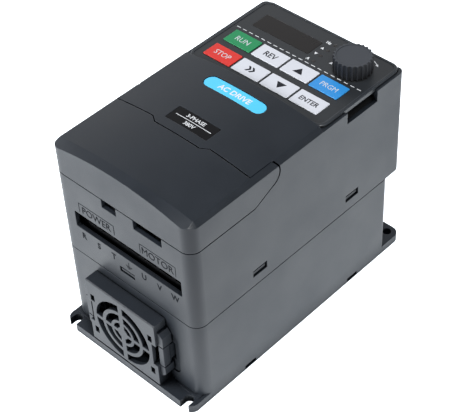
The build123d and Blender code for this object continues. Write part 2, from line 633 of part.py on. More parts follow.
with BuildPart() as fan_impeller:
    hub_front = FAN_Y[0] + 1.0
    rod_y(0, FAN_Z, (hub_front, FAN_Y[1] - 3.2), 10.4)
    fillet(fan_impeller.faces().sort_by(Axis.Y)[0].edges(), 0.8)
    rod_y(0, FAN_Z, (hub_front + 1.4, FAN_Y[1]), 9.3, mode=Mode.SUBTRACT)
    rod_y(0, FAN_Z, (hub_front + 0.6, hub_front + 3.6), 1.9)
    rod_y(0, FAN_Z, (hub_front + 0.6, FAN_Y[1]), 0.81, mode=Mode.SUBTRACT)
    # seven twisted blades
    for n in range(7):
        angle = 360 / 7 * n
        with BuildSketch(at_y(FAN_Y[0] + 1.2)) as root:
            with Locations((0, FAN_Z)):
                with PolarLocations(14.0, 1, start_angle=angle):
                    Rectangle(8.4, 1.0)
        with BuildSketch(at_y(FAN_Y[1] - 4.0)) as tip:
            with Locations((0, FAN_Z)):
                with PolarLocations(14.0, 1, start_angle=angle + 34):
                    Rectangle(8.4, 1.0)
        loft([root.sketch, tip.sketch])
save(fan_impeller, "fan_impeller")

# ---------------------------------------------------------------- heat sink and boards
with BuildPart() as heat_sink:
    block((-38, 38), (-47.5, 58), SINK_Z)
    for n in range(11):
        fin_x = -26 + 5.2 * n
        block((fin_x - 0.8, fin_x + 0.8), (-47.5, 58), (5.0, SINK_Z[0] + 0.5))
    for x, y in SINK_POSTS:
        post(x, y, (40, 60), 1.6, mode=Mode.SUBTRACT)
save(heat_sink, "heat_sink")

with BuildPart() as heat_sink_screws:
    for x, y in SINK_POSTS:
        post(x, y, (SINK_Z[0] - 8, SINK_Z[1] + 0.5), 1.2)
        post(x, y, (SINK_Z[1], SINK_Z[1] + 2.0), 2.6)
        drive_z = (SINK_Z[1] + 1.1, SINK_Z[1] + 3)
        block((x - 2.0, x + 2.0), (y - 0.4, y + 0.4), drive_z, mode=Mode.SUBTRACT)
        block((x - 0.4, x + 0.4), (y - 2.0, y + 2.0), drive_z, mode=Mode.SUBTRACT)
save(heat_sink_screws, "heat_sink_screws")

with BuildPart() as power_board:
    plate((-38, 38), (-62, 58), (POWER_BOARD_Z, POWER_TOP), 1.5)
    for x, y in LOW_POSTS:
        post(x, y, (50, 70), 1.6, mode=Mode.SUBTRACT)
save(power_board, "power_board")

with BuildPart() as control_board:
    plate((-36, 36), (-41, 62), (CONTROL_BOARD_Z, CONTROL_TOP), 1.5)
    for x, y in HIGH_POSTS:
        post(x, y, (80, 100), 1.6, mode=Mode.SUBTRACT)
save(control_board, "control_board")

with BuildPart() as board_standoffs:
    for x, y in LOW_POSTS:
        post(x, y, (SINK_Z[1], POWER_BOARD_Z), 3.0)
        post(x, y, (SINK_Z[1] + 1, 60), 1.25, mode=Mode.SUBTRACT)
    for x, y in HIGH_POSTS:
        post(x, y, (POWER_TOP, CONTROL_BOARD_Z), 2.6)
        post(x, y, (CONTROL_BOARD_Z - 8, 100), 1.25, mode=Mode.SUBTRACT)
save(board_standoffs, "board_standoffs")

with BuildPart() as board_screws:
    for spots, top, length in ((LOW_POSTS, POWER_TOP, 5.5), (HIGH_POSTS, CONTROL_TOP, 7.0)):
        drive_z = (top + 1.0, top + 3)
        for x, y in spots:
            post(x, y, (top - length, top + 0.5), 1.2)
            post(x, y, (top, top + 1.8), 2.4)
            block((x - 1.8, x + 1.8), (y - 0.4, y + 0.4), drive_z, mode=Mode.SUBTRACT)
            block((x - 0.4, x + 0.4), (y - 1.8, y + 1.8), drive_z, mode=Mode.SUBTRACT)
save(board_screws, "board_screws")

# ---------------------------------------------------------------- power parts
with BuildPart() as power_module:
    block((-24, 20), (-14, 14), (SINK_Z[1], 56.0))
    with Locations((0, 0, 55.9)):
        with GridLocations(0, 24, 1, 2):
            with GridLocations(4.4, 0, 9, 1):
                pin_height = POWER_BOARD_Z - 55.9
                Box(0.8, 0.6, pin_height, align=(Align.CENTER, Align.CENTER, Align.MIN))
save(power_module, "power_module")

with BuildPart() as rectifier_bridge:
    block((-18, 12), (22, 42), (SINK_Z[1], 55.5))
    for n in range(5):
        pin_x = -15 + 6 * n
        block((pin_x - 0.5, pin_x + 0.5), (24, 24.6), (55.4, POWER_BOARD_Z))
save(rectifier_bridge, "rectifier_bridge")

with BuildPart() as dc_bus_capacitors:
    for x in (-24.5, 0.0, 24.5):
        with BuildSketch(Plane.XZ.offset(-44)) as half_can:
            with BuildLine():
                Polyline(
                    (x, POWER_TOP), (x + 10.4, POWER_TOP), (x + 11, POWER_TOP + 0.6),
                    (x + 11, POWER_TOP + 2.4), (x + 10.5, POWER_TOP + 2.9), (x + 11, POWER_TOP + 3.4),
                    (x + 11, 87.4), (x + 10.4, 88.0), (x, 88.0), (x, POWER_TOP),
                )
            make_face()
        revolve(half_can.sketch, axis=Axis((x, 44, 0), (0, 0, 1)))
        block((x - 6, x + 6), (43.8, 44.2), (87.7, 90), mode=Mode.SUBTRACT)
        block((x - 0.2, x + 0.2), (38, 50), (87.7, 90), mode=Mode.SUBTRACT)
save(dc_bus_capacitors, "dc_bus_capacitors")

with BuildPart() as switching_transformer:
    block((-30, -10), (-16, 2), (POWER_TOP, POWER_TOP + 3))
    block((-28, -12), (-18, 4), (POWER_TOP + 2.5, POWER_TOP + 17))
    block((-30, -10), (-16, 2), (POWER_TOP + 16.5, POWER_TOP + 19))
save(switching_transformer, "switching_transformer")

with BuildPart() as precharge_relay:
    plate((8, 27), (-14, 1.5), (POWER_TOP, POWER_TOP + 15.5), 1)
    chamfer(precharge_relay.faces().sort_by(Axis.Z)[-1].edges(), 0.6)
save(precharge_relay, "precharge_relay")

with BuildPart() as filter_choke:
    post(0, -30, (POWER_TOP, POWER_TOP + 1.6), 10.5)
    post(0, -30, (POWER_TOP + 1.5, POWER_TOP + 11.0), 10.0)
    fillet(filter_choke.faces().sort_by(Axis.Z)[-1].edges(), 2.4)
    post(0, -30, (POWER_TOP - 1, POWER_TOP + 20), 4.2, mode=Mode.SUBTRACT)
save(filter_choke, "filter_choke")

with BuildPart() as board_header:
    block((-12, 12), (12, 17), (POWER_TOP, POWER_TOP + 8.5))
    with Locations((0, 14.5, POWER_TOP + 8)):
        with GridLocations(2.54, 0, 8, 1):
            pin_height = CONTROL_BOARD_Z - POWER_TOP - 8
            Box(0.64, 0.64, pin_height, align=(Align.CENTER, Align.CENTER, Align.MIN))
save(board_header, "board_header")

# ---------------------------------------------------------------- terminals
POLE_X = [SLOT_MID_X + (n - (POLES - 1) / 2) * POLE_PITCH for n in range(POLES)]
BLOCK_Y = (-63.6, -47.0)
BLOCK_TOP = 79.5
ENTRY_MID_Z = (SLOT_Z[0] + SLOT_Z[1]) / 2
ENTRY_Z = (ENTRY_MID_Z - 3.6, ENTRY_MID_Z + 3.2)
CLAMP_Y = -56.0

with BuildPart() as power_terminal_block:
    block((SLOT_MID_X - 34.2, SLOT_MID_X + 34.2), BLOCK_Y, (POWER_TOP, BLOCK_TOP))
    for x in POLE_X:
        block((x - 3.7, x + 3.7), (BLOCK_Y[0] - 1, -51), ENTRY_Z, mode=Mode.SUBTRACT)
        post(x, CLAMP_Y, (ENTRY_MID_Z + 3, 90), 2.9, mode=Mode.SUBTRACT)
save(power_terminal_block, "power_terminal_block")

with BuildPart() as power_terminal_screws:
    for x in POLE_X:
        block((x - 3.6, x + 3.6), (-58.9, -51.5), (ENTRY_MID_Z - 3.6, ENTRY_MID_Z - 2.6))
        post(x, CLAMP_Y, (ENTRY_MID_Z - 2.7, ENTRY_MID_Z + 4), 1.75)
        post(x, CLAMP_Y, (ENTRY_MID_Z + 3.6, ENTRY_MID_Z + 6), 2.8)
        slot_y = (CLAMP_Y - 0.4, CLAMP_Y + 0.4)
        block((x - 2.2, x + 2.2), slot_y, (ENTRY_MID_Z + 4.8, 90), mode=Mode.SUBTRACT)
save(power_terminal_screws, "power_terminal_screws")

CONTROL_POLES = [(n - 4.5) * 5.08 for n in range(10)]

with BuildPart() as control_terminal_block:
    block((-26.2, 26.2), (-40.5, -31.5), (CONTROL_TOP, CONTROL_TOP + 8.6))
    for x in CONTROL_POLES:
        entry_z = (CONTROL_TOP + 0.9, CONTROL_TOP + 4.9)
        block((x - 1.9, x + 1.9), (-42, -34), entry_z, mode=Mode.SUBTRACT)
        post(x, -36.5, (CONTROL_TOP + 4.5, CONTROL_TOP + 10), 1.9, mode=Mode.SUBTRACT)
save(control_terminal_block, "control_terminal_block")

with BuildPart() as control_terminal_screws:
    for x in CONTROL_POLES:
        post(x, -36.5, (CONTROL_TOP + 2.2, CONTROL_TOP + 6.2), 1.1)
        post(x, -36.5, (CONTROL_TOP + 5.8, CONTROL_TOP + 7.6), 1.8)
        slot_z = (CONTROL_TOP + 6.9, CONTROL_TOP + 9)
        block((x - 1.3, x + 1.3), (-36.8, -36.2), slot_z, mode=Mode.SUBTRACT)
save(control_terminal_screws, "control_terminal_screws")
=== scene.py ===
"""Looks for the variable frequency drive: moulded plastics, printed legends, board parts, light and camera."""

import json
import math
import random

import bmesh
import bpy
from mathutils import Matrix, Vector


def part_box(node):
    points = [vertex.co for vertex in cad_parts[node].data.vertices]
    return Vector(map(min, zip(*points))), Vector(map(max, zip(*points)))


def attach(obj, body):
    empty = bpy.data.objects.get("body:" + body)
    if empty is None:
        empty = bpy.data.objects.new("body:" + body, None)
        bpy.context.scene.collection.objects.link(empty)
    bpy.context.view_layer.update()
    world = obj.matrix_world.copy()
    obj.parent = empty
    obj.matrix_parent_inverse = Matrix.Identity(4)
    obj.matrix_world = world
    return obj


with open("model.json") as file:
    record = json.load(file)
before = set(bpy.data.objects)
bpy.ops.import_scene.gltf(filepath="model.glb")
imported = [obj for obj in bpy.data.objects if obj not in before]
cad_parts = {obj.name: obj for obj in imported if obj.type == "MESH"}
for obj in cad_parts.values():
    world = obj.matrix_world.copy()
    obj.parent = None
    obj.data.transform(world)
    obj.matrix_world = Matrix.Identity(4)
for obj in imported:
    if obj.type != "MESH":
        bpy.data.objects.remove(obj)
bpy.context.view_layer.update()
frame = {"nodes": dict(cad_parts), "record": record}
nodes = frame["nodes"]
MM = 0.001

# ---------------------------------------------------------------- scene settings and camera
LENS_MM = 107.7
SENSOR_MM = 36.0
CAMERA_PLACE = (0.33433, -0.33070, 0.49933)
CAMERA_AIM = (0.0032234, -0.0051437, 0.055)
CAMERA_ROLL_DEGREES = -3.222

scene = bpy.context.scene
scene.view_settings.view_transform = "Standard"
scene.view_settings.look = "None"
scene.render.film_transparent = False

camera_data = bpy.data.cameras.new("camera")
camera_data.lens = LENS_MM
camera_data.sensor_width = SENSOR_MM
camera_data.clip_start = 0.01
camera_data.clip_end = 20.0
camera = bpy.data.objects.new("camera", camera_data)
camera.location = CAMERA_PLACE
back = (camera.location - Vector(CAMERA_AIM)).normalized()
right = Vector((0, 0, 1)).cross(back).normalized()
up = back.cross(right)
turn = Matrix((right, up, back)).transposed().to_4x4()
roll = Matrix.Rotation(math.radians(CAMERA_ROLL_DEGREES), 4, "Z")
camera.matrix_world = Matrix.Translation(camera.location) @ turn @ roll
scene.collection.objects.link(camera)
scene.camera = camera


# ---------------------------------------------------------------- node helpers
def new_material(name):
    """An empty node material with its Principled shader."""
    mat = bpy.data.materials.new(name)
    mat.use_nodes = True
    return mat, mat.node_tree, mat.node_tree.nodes["Principled BSDF"]


def add_node(tree, kind, **values):
    """A shader node with some of its inputs or settings filled in."""
    node = tree.nodes.new(kind)
    for key, value in values.items():
        if key in node.inputs:
            node.inputs[key].default_value = value
        else:
            setattr(node, key, value)
    return node


def feed(tree, socket, value):
    """Give a socket another node's output, or a fixed value."""
    if isinstance(value, bpy.types.NodeSocket):
        tree.links.new(value, socket)
    else:
        socket.default_value = value


def object_place(tree):
    """Where a point is on its object, in metres."""
    return add_node(tree, "ShaderNodeTexCoord").outputs["Object"]


def noise(tree, place, scale, detail, roughness=0.5):
    """Noise between 0 and 1 at a place."""
    node = add_node(tree, "ShaderNodeTexNoise", Scale=scale, Detail=detail, Roughness=roughness)
    tree.links.new(place, node.inputs["Vector"])
    return node.outputs["Fac"]


def calculate(tree, operation, *values):
    """One step of arithmetic on outputs and numbers."""
    node = add_node(tree, "ShaderNodeMath", operation=operation)
    for socket, value in zip(node.inputs, values):
        feed(tree, socket, value)
    return node.outputs["Value"]


def along(tree, vector, direction):
    """How far a vector reaches along a direction."""
    node = add_node(tree, "ShaderNodeVectorMath", operation="DOT_PRODUCT")
    feed(tree, node.inputs[0], vector)
    feed(tree, node.inputs[1], direction)
    return node.outputs["Value"]


def height_of(tree, vector):
    """The Z part of a vector."""
    node = add_node(tree, "ShaderNodeSeparateXYZ")
    tree.links.new(vector, node.inputs["Vector"])
    return node.outputs["Z"]


def map_range(tree, value, from_min=0.0, from_max=1.0, to_min=0.0, to_max=1.0):
    """A value carried from one range to another, and held inside it."""
    node = add_node(tree, "ShaderNodeMapRange", clamp=True)
    for key, limit in (("From Min", from_min), ("From Max", from_max), ("To Min", to_min), ("To Max", to_max)):
        node.inputs[key].default_value = limit
    tree.links.new(value, node.inputs["Value"])
    return node.outputs["Result"]


def mix(tree, kind, factor, first, second):
    """Two colours (RGBA) or numbers (FLOAT) mixed by a factor."""
    node = add_node(tree, "ShaderNodeMix", data_type=kind)
    for key, value in (("Factor", factor), ("A", first), ("B", second)):
        feed(tree, node.inputs[key], value)
    return node.outputs["Result"]


def colour_ramp(tree, factor, stops):
    """A colour ramp over a factor, from (position, colour) stops."""
    ramp = tree.nodes.new("ShaderNodeValToRGB")
    while len(ramp.color_ramp.elements) < len(stops):
        ramp.color_ramp.elements.new(0.5)
    for element, (place, colour) in zip(ramp.color_ramp.elements, stops):
        element.position = place
        element.color = rgba(colour)
    tree.links.new(factor, ramp.inputs["Fac"])
    return ramp.outputs["Color"]


def set_bump(tree, bsdf, height, strength, distance, normal=None):
    """Bump from a height, on top of another normal where one is given."""
    bump = add_node(tree, "ShaderNodeBump", Strength=strength, Distance=distance)
    tree.links.new(height, bump.inputs["Height"])
    if normal is not None:
        tree.links.new(normal, bump.inputs["Normal"])
    tree.links.new(bump.outputs["Normal"], bsdf.inputs["Normal"])


def rgba(colour):
    return (*colour, 1.0)


def shade(colour, factor):
    return tuple(min(1.0, c * factor) for c in colour)


# ---------------------------------------------------------------- finishes
NARROW_GAP_SHADE = (0.003, 0.30, 0.62)    # reach in metres, then the occlusion where the painted shade is full and where it ends
DEEP_OPENING_SHADE = (0.022, 0.34, 0.58)
GAP_SHADE_TINT = 0.10                     # painted shade: the share of the colour left at the bottom of a gap
EDGE_HIGHLIGHT_COVER = 0.40                   # how much of the painted edge highlight shows on an edge


def occlusion_shade_mask(tree, reach, shut, clear):
    """Mask for painted shade from occlusion: 0 inside a gap or opening, 1 on an open surface."""
    occlusion = add_node(tree, "ShaderNodeAmbientOcclusion", samples=8, Distance=reach)
    return map_range(tree, occlusion.outputs["AO"], shut, clear)


def moulded(name, colour, rough=0.5, grain=2600.0, depth=0.00003, spread=0.12, edge=0.00035, edge_highlight_tint=2.6,
            shine=0.5, painted_top_light=1.0, shaded_gaps=False):
    """Moulded plastic: spark-eroded grain, faint flow mottling, soft edges with a painted highlight, and gaps
    dulled and darkened with painted shade.

    grain and depth are the scale and height of the grain, and spread is how much the tint varies. edge is the
    radius of the softened edges in metres, and edge_highlight_tint is how much lighter their painted highlight is.
    painted_top_light is how much lighter the faces that look straight up are painted. shaded_gaps takes the gloss
    out of the gaps too.
    """
    mat, tree, bsdf = new_material(name)
    place = object_place(tree)
    flow = noise(tree, place, 38.0, 4.0, 0.6)
    fine = noise(tree, place, grain, 3.0, 0.7)
    mottle = calculate(tree, "MULTIPLY_ADD", fine, 0.35, flow)
    tint = colour_ramp(tree, mottle, [(0.45, shade(colour, 1 - spread)), (0.90, shade(colour, 1 + spread))])

    true_normal = add_node(tree, "ShaderNodeNewGeometry").outputs["Normal"]
    soft_normal = add_node(tree, "ShaderNodeBevel", samples=6, Radius=edge).outputs["Normal"]
    # painted highlight: edges softened by the bevel are tinted lighter
    painted_edge_highlight = map_range(tree, along(tree, soft_normal, true_normal), 0.995, 0.90, to_max=EDGE_HIGHLIGHT_COVER)
    finish = mix(tree, "RGBA", painted_edge_highlight, tint, rgba(shade(colour, edge_highlight_tint)))

    # painted shade: the colour is darkened in gaps and deep openings, where the surface is occluded
    gap_shade_mask = calculate(tree, "MULTIPLY", occlusion_shade_mask(tree, *NARROW_GAP_SHADE), occlusion_shade_mask(tree, *DEEP_OPENING_SHADE))
    finish = mix(tree, "RGBA", gap_shade_mask, rgba(shade(colour, GAP_SHADE_TINT)), finish)
    # painted light: faces that look straight up are made lighter
    if painted_top_light != 1.0:
        lit_upward_faces = map_range(tree, height_of(tree, true_normal), 0.85, 0.98)
        finish = mix(tree, "RGBA", lit_upward_faces, finish, rgba(shade(colour, painted_top_light)))
    tree.links.new(finish, bsdf.inputs["Base Color"])

    bsdf.inputs["Specular IOR Level"].default_value = shine
    # the gloss in gaps is cut down along with the painted shade
    if shaded_gaps:
        tree.links.new(calculate(tree, "MULTIPLY", gap_shade_mask, shine), bsdf.inputs["Specular IOR Level"])
    patchy = map_range(tree, flow, 0.3, 0.75, rough - 0.05, rough + 0.07)
    tree.links.new(mix(tree, "FLOAT", gap_shade_mask, 1.0, patchy), bsdf.inputs["Roughness"])
    set_bump(tree, bsdf, fine, 0.55, depth, soft_normal)
    return mat


def metal(name, colour, rough=0.3, stretch=(60, 900, 900), spread=0.15):
    """Machined, drawn or plated metal with fine marks, long where stretch is small."""
    mat, tree, bsdf = new_material(name)
    scaled = add_node(tree, "ShaderNodeMapping", Scale=stretch)
    tree.links.new(object_place(tree), scaled.inputs["Vector"])
    marks = noise(tree, scaled.outputs["Vector"], 2.0, 6.0, 0.65)
    tint = colour_ramp(tree, marks, [(0.3, shade(colour, 1 - spread)), (0.7, shade(colour, 1 + spread))])
    tree.links.new(tint, bsdf.inputs["Base Color"])
    tree.links.new(map_range(tree, marks, to_min=rough - 0.08, to_max=rough + 0.14), bsdf.inputs["Roughness"])
    set_bump(tree, bsdf, marks, 0.25, 0.00002)
    bsdf.inputs["Metallic"].default_value = 1.0
    return mat


def board_finish(name, colour):
    """Solder mask over copper: darker bare mask, lighter track pattern."""
    mat, tree, bsdf = new_material(name)
    bricks = add_node(tree, "ShaderNodeTexBrick", Scale=190.0)
    bricks.inputs["Color1"].default_value = rgba(shade(colour, 1.25))
    bricks.inputs["Color2"].default_value = rgba(shade(colour, 1.05))
    bricks.inputs["Mortar"].default_value = rgba(shade(colour, 0.72))
    bricks.inputs["Mortar Size"].default_value = 0.03
    tree.links.new(object_place(tree), bricks.inputs["Vector"])
    tree.links.new(bricks.outputs["Color"], bsdf.inputs["Base Color"])
    set_bump(tree, bsdf, bricks.outputs["Fac"], 0.3, 0.00003)
    bsdf.inputs["Roughness"].default_value = 0.32
    return mat


def ink(name, colour, rough=0.45, shine=0.5):
    """Screen-printed ink with slightly uneven cover."""
    mat, tree, bsdf = new_material(name)
    cover = noise(tree, object_place(tree), 1500.0, 3.0)
    tint = colour_ramp(tree, cover, [(0.3, shade(colour, 0.92)), (0.6, colour)])
    tree.links.new(tint, bsdf.inputs["Base Color"])
    set_bump(tree, bsdf, cover, 0.2, 0.00001)
    bsdf.inputs["Roughness"].default_value = rough
    bsdf.inputs["Specular IOR Level"].default_value = shine
    return mat


# ---------------------------------------------------------------- materials, by the record's slots
SLOTS = {
    "housing": moulded("housing_plastic", (0.0125, 0.0165, 0.0230), rough=0.46, depth=0.00007, shaded_gaps=True),
    # a strong painted highlight along the panel's softened edges
    "keypad_panel": moulded("keypad_panel_plastic", (0.022, 0.026, 0.031), rough=0.42, edge_highlight_tint=7.0,
                            edge=0.0004),
    "keypad_film": moulded("keypad_film", (0.022, 0.025, 0.029), rough=0.40, grain=3800, depth=0.000012,
                           spread=0.06),
    "display_window": moulded("smoked_window", (0.009, 0.0075, 0.0075), rough=0.30, grain=900, depth=0.000002,
                              spread=0.05, shine=0.35),
    "lamp_lens": moulded("lamp_lens", (0.020, 0.018, 0.018), rough=0.25, depth=0.000004),
    # the knob's top is painted lighter than its sides
    "knob_plastic": moulded("knob_plastic", (0.020, 0.022, 0.026), rough=0.55, shine=0.35, painted_top_light=2.6),
    "key_green": moulded("key_green", (0.010, 0.250, 0.090), rough=0.38, depth=0.00001, spread=0.04),
    "key_red": moulded("key_red", (0.68, 0.030, 0.022), rough=0.38, depth=0.00001, spread=0.04),
    "key_blue": moulded("key_blue", (0.030, 0.270, 0.680), rough=0.38, depth=0.00001, spread=0.04),
    "key_white": moulded("key_white", (0.66, 0.68, 0.74), rough=0.38, depth=0.00001, spread=0.03),
    "badge_blue": moulded("badge_blue", (0.090, 0.60, 1.0), rough=0.40, depth=0.000008, spread=0.02),
    "label_film": moulded("label_film", (0.004, 0.004, 0.005), rough=0.6, depth=0.000008, shine=0.2),
    "black_plastic": moulded("black_plastic", (0.002, 0.002, 0.0025), rough=0.7, shine=0.06),
    "terminal_plastic": moulded("terminal_plastic", (0.010, 0.011, 0.013), rough=0.45, shaded_gaps=True),
    "circuit_board": board_finish("solder_mask", (0.012, 0.105, 0.045)),
    "capacitor_sleeve": moulded("capacitor_sleeve", (0.020, 0.022, 0.034), rough=0.28, spread=0.08),
    "transformer_core": moulded("ferrite_and_tape", (0.16, 0.10, 0.02), rough=0.40),
    "relay_case": moulded("relay_case", (0.015, 0.050, 0.190), rough=0.32),
    "choke_core": metal("enamelled_winding", (0.45, 0.16, 0.06), rough=0.30, stretch=(700, 700, 700)),
    "steel": metal("turned_steel", (0.56, 0.56, 0.58)),
    "plated_screws": metal("zinc_plate", (0.66, 0.64, 0.58), rough=0.34),
    "core_steel": metal("laminated_core", (0.22, 0.17, 0.13), rough=0.45, stretch=(500, 4000, 500)),
    "bearing_brass": metal("sintered_bronze", (0.62, 0.45, 0.22), rough=0.42, stretch=(1500, 1500, 1500)),
    "standoff_brass": metal("brass", (0.72, 0.55, 0.26), rough=0.26),
    "heat_sink_aluminium": metal("extruded_aluminium", (0.74, 0.75, 0.77), rough=0.36, stretch=(900, 40, 900)),
}
white_ink = ink("white_ink", (0.80, 0.82, 0.85))
pale_ink = ink("pale_ink", (0.62, 0.66, 0.70))
# painted shade: the end-wall letters and frames are moulded in the housing plastic, and this dark colour stands in
# for the shade in their relief
letter_shade_ink = ink("letter_shade_ink", (0.010, 0.011, 0.014), rough=0.8, shine=0.06)
key_ink = ink("key_ink", (0.020, 0.022, 0.028), rough=0.7, shine=0.15)
tin = metal("tinned_leads", (0.70, 0.70, 0.72), rough=0.25)
chip = moulded("chip_resin", (0.014, 0.014, 0.015), rough=0.48, grain=4200)

for part in frame["record"]["subparts"]:
    node = nodes[part["node"]]
    node.data.materials.clear()
    node.data.materials.append(SLOTS[part["material_slot"]])


# ---------------------------------------------------------------- piece helpers (sizes in millimetres)
FLAT = Matrix.Identity(4)


def keep(name, mesh_or_bm, material, body):
    """Turn a mesh into a finished piece that rides on its body."""
    if isinstance(mesh_or_bm, bmesh.types.BMesh):
        mesh = bpy.data.meshes.new(name)
        bmesh.ops.recalc_face_normals(mesh_or_bm, faces=mesh_or_bm.faces)
        mesh_or_bm.to_mesh(mesh)
        mesh_or_bm.free()
    else:
        mesh = mesh_or_bm
        mesh.name = name
    mesh.materials.clear()
    mesh.materials.append(material)
    piece = bpy.data.objects.new(name, mesh)
    scene.collection.objects.link(piece)
    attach(piece, body)
    return piece


def add_prism(bm, outline, low, high, place=FLAT):
    """Add a closed prism on a flat outline, then moved by a matrix."""
    bottom = [bm.verts.new(place @ Vector((x * MM, y * MM, low * MM))) for x, y in outline]
    top = [bm.verts.new(place @ Vector((x * MM, y * MM, high * MM))) for x, y in outline]
    bm.faces.new(list(reversed(bottom)))
    bm.faces.new(top)
    count = len(outline)
    for n in range(count):
        m = (n + 1) % count
        bm.faces.new((bottom[n], bottom[m], top[m], top[n]))


def prisms(outlines, low, high, place=FLAT):
    """A mesh of closed prisms of one height."""
    bm = bmesh.new()
    for outline in outlines:
        add_prism(bm, outline, low, high, place)
    return bm


def rectangle(x0, y0, x1, y1):
    return [(x0, y0), (x1, y0), (x1, y1), (x0, y1)]


def lettering(name, text, size, centre, low, high, material, body, place=FLAT, stretch=1.0, bold=0.0):
    """Printed words as a thin mesh, centred on a point of a plane."""
    curve = bpy.data.curves.new(name + "_curve", "FONT")
    curve.body = text
    curve.size = size * MM
    curve.align_x = "CENTER"
    curve.align_y = "CENTER"
    curve.extrude = (high - low) * MM / 2
    curve.offset = bold * MM
    curve.resolution_u = 3
    shape = bpy.data.objects.new(name + "_shape", curve)
    scene.collection.objects.link(shape)
    bpy.context.view_layer.update()
    mesh = bpy.data.meshes.new_from_object(shape)
    bpy.data.objects.remove(shape)
    bpy.data.curves.remove(curve)
    xs = [v.co.x for v in mesh.vertices]
    ys = [v.co.y for v in mesh.vertices]
    middle = Vector(((min(xs) + max(xs)) / 2, (min(ys) + max(ys)) / 2, 0))
    mesh.transform(Matrix.Translation(-middle))
    mesh.transform(Matrix.Diagonal((stretch, 1, 1, 1)))
    mesh.transform(place @ Matrix.Translation((centre[0] * MM, centre[1] * MM, (low + high) / 2 * MM)))
    return keep(name, mesh, material, body)


PRINT_SINK = 0.004      # how deep printing is set into its surface
PRINT_THICK = 0.03

# ---------------------------------------------------------------- key legends
KEY_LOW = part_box("key_run")[1].z / MM - PRINT_SINK
KEY_HIGH = KEY_LOW + PRINT_THICK
DARK_BOLD = 0.07        # dark legends on pale keys are heavier


def key_centre(node):
    low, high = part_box(node)
    return (low.x + high.x) / 2 / MM, (low.y + high.y) / 2 / MM


for node, text, size, material in (
    ("key_run", "RUN", 4.6, pale_ink), ("key_stop", "STOP", 4.4, pale_ink), ("key_program", "PRGM", 4.2, pale_ink),
    ("key_reverse", "REV", 4.8, key_ink), ("key_enter", "ENTER", 4.0, key_ink),
):
    lettering(node + "_legend", text, size, key_centre(node), KEY_LOW, KEY_HIGH, material, node,
              stretch=0.90, bold=DARK_BOLD if material is key_ink else 0.0)

for node, sign in (("key_up", 1), ("key_down", -1)):
    x, y = key_centre(node)
    arrow = [(x - 2.7 * sign, y - 1.9 * sign), (x + 2.7 * sign, y - 1.9 * sign), (x, y + 2.1 * sign)]
    keep(node + "_legend", prisms([arrow], KEY_LOW, KEY_HIGH), key_ink, node)

x, y = key_centre("key_shift")
chevrons = [[(left, y + 1.8), (left + 1.2, y + 1.8), (left + 2.6, y),
             (left + 1.2, y - 1.8), (left, y - 1.8), (left + 1.4, y)] for left in (x - 2.4, x - 0.2)]
keep("key_shift_legend", prisms(chevrons, KEY_LOW, KEY_HIGH), key_ink, "key_shift")

# ---------------------------------------------------------------- printing on the panel film
FILM_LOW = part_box("keypad_overlay")[1].z / MM - PRINT_SINK
FILM_HIGH = FILM_LOW + PRINT_THICK
DASHES = 20
DASH_START = -37.6
DASH_PITCH = 3.84
DASH_LENGTH = 2.25
DASH_EDGES = (46.03, 46.42)     # the line's two edges along Y

dashes = []
for n in range(DASHES):
    left = DASH_START + DASH_PITCH * n
    dashes.append(rectangle(left, DASH_EDGES[0], left + DASH_LENGTH, DASH_EDGES[1]))
keep("panel_dashes", prisms(dashes, FILM_LOW, FILM_HIGH), white_ink, "keypad")

for name, text, y in (("lamp_mark_top", "Hz", 64.0), ("lamp_mark_bottom", "A", 49.0)):
    lettering(name, text, 2.3, (4.1, y), FILM_LOW, FILM_HIGH, white_ink, "keypad", bold=0.09)
lamp_arrows = [[(3.5, 58.35), (5.3, 58.35), (4.4, 59.95)], [(4.4, 53.15), (5.3, 54.75), (3.5, 54.75)]]
keep("lamp_marks", prisms(lamp_arrows, FILM_LOW, FILM_HIGH), white_ink, "keypad")

knob_marks = [
    [(13.7, 52.3), (15.5, 52.3), (14.6, 54.1)],
    [(28.6, 66.95), (28.45, 66.7), (31.3, 65.2), (31.45, 65.45)],
    [(30.9, 64.7), (32.6, 64.5), (31.6, 66.0)],
]
keep("knob_marks", prisms(knob_marks, FILM_LOW, FILM_HIGH), white_ink, "keypad")

# ---------------------------------------------------------------- printing on the badge and the rating label
ABOVE_ALL = 0.2                 # metres, higher than anything on the drive
CROWN_MM = 115.0                # height used where a ray misses
RULE_STEPS = 16                 # the label's rule is cut up, so that it can follow the crown
RULE_START = -10.3
RULE_LENGTH = 21.2


def surface_height(x_mm, y_mm, node):
    """Height of a curved node under a point."""
    start = Vector((x_mm * MM, y_mm * MM, ABOVE_ALL))
    hit, spot, _, _ = nodes[node].ray_cast(start, Vector((0, 0, -1)))
    return spot.z / MM if hit else CROWN_MM


def drape(piece, node):
    """Lay a thin flat piece on a curved node, keeping its thickness."""
    for vertex in piece.data.vertices:
        x, y = vertex.co.x / MM, vertex.co.y / MM
        vertex.co.z += (surface_height(x, y, node) - PRINT_SINK) * MM


for name, text, size, centre, node, slot, bold in (
    ("badge_lettering", "AC DRIVE", 4.3, (0.3, 4.3), "badge", "badge_blue", 0.10),
    ("label_upper_line", "3-PHASE", 3.0, (0.0, -19.6), "rating_label", "label_film", 0.03),
    ("label_lower_line", "380V", 3.0, (0.0, -24.0), "rating_label", "label_film", 0.03),
):
    drape(lettering(name, text, size, centre, 0, PRINT_THICK, white_ink, "drive", bold=bold), node)

rule = []
for n in range(RULE_STEPS):
    left = RULE_START + RULE_LENGTH * n / RULE_STEPS
    rule.append(rectangle(left, -21.98, left + RULE_LENGTH / RULE_STEPS, -21.68))
drape(keep("label_rule", prisms(rule, 0, PRINT_THICK), white_ink, "drive"), "rating_label")

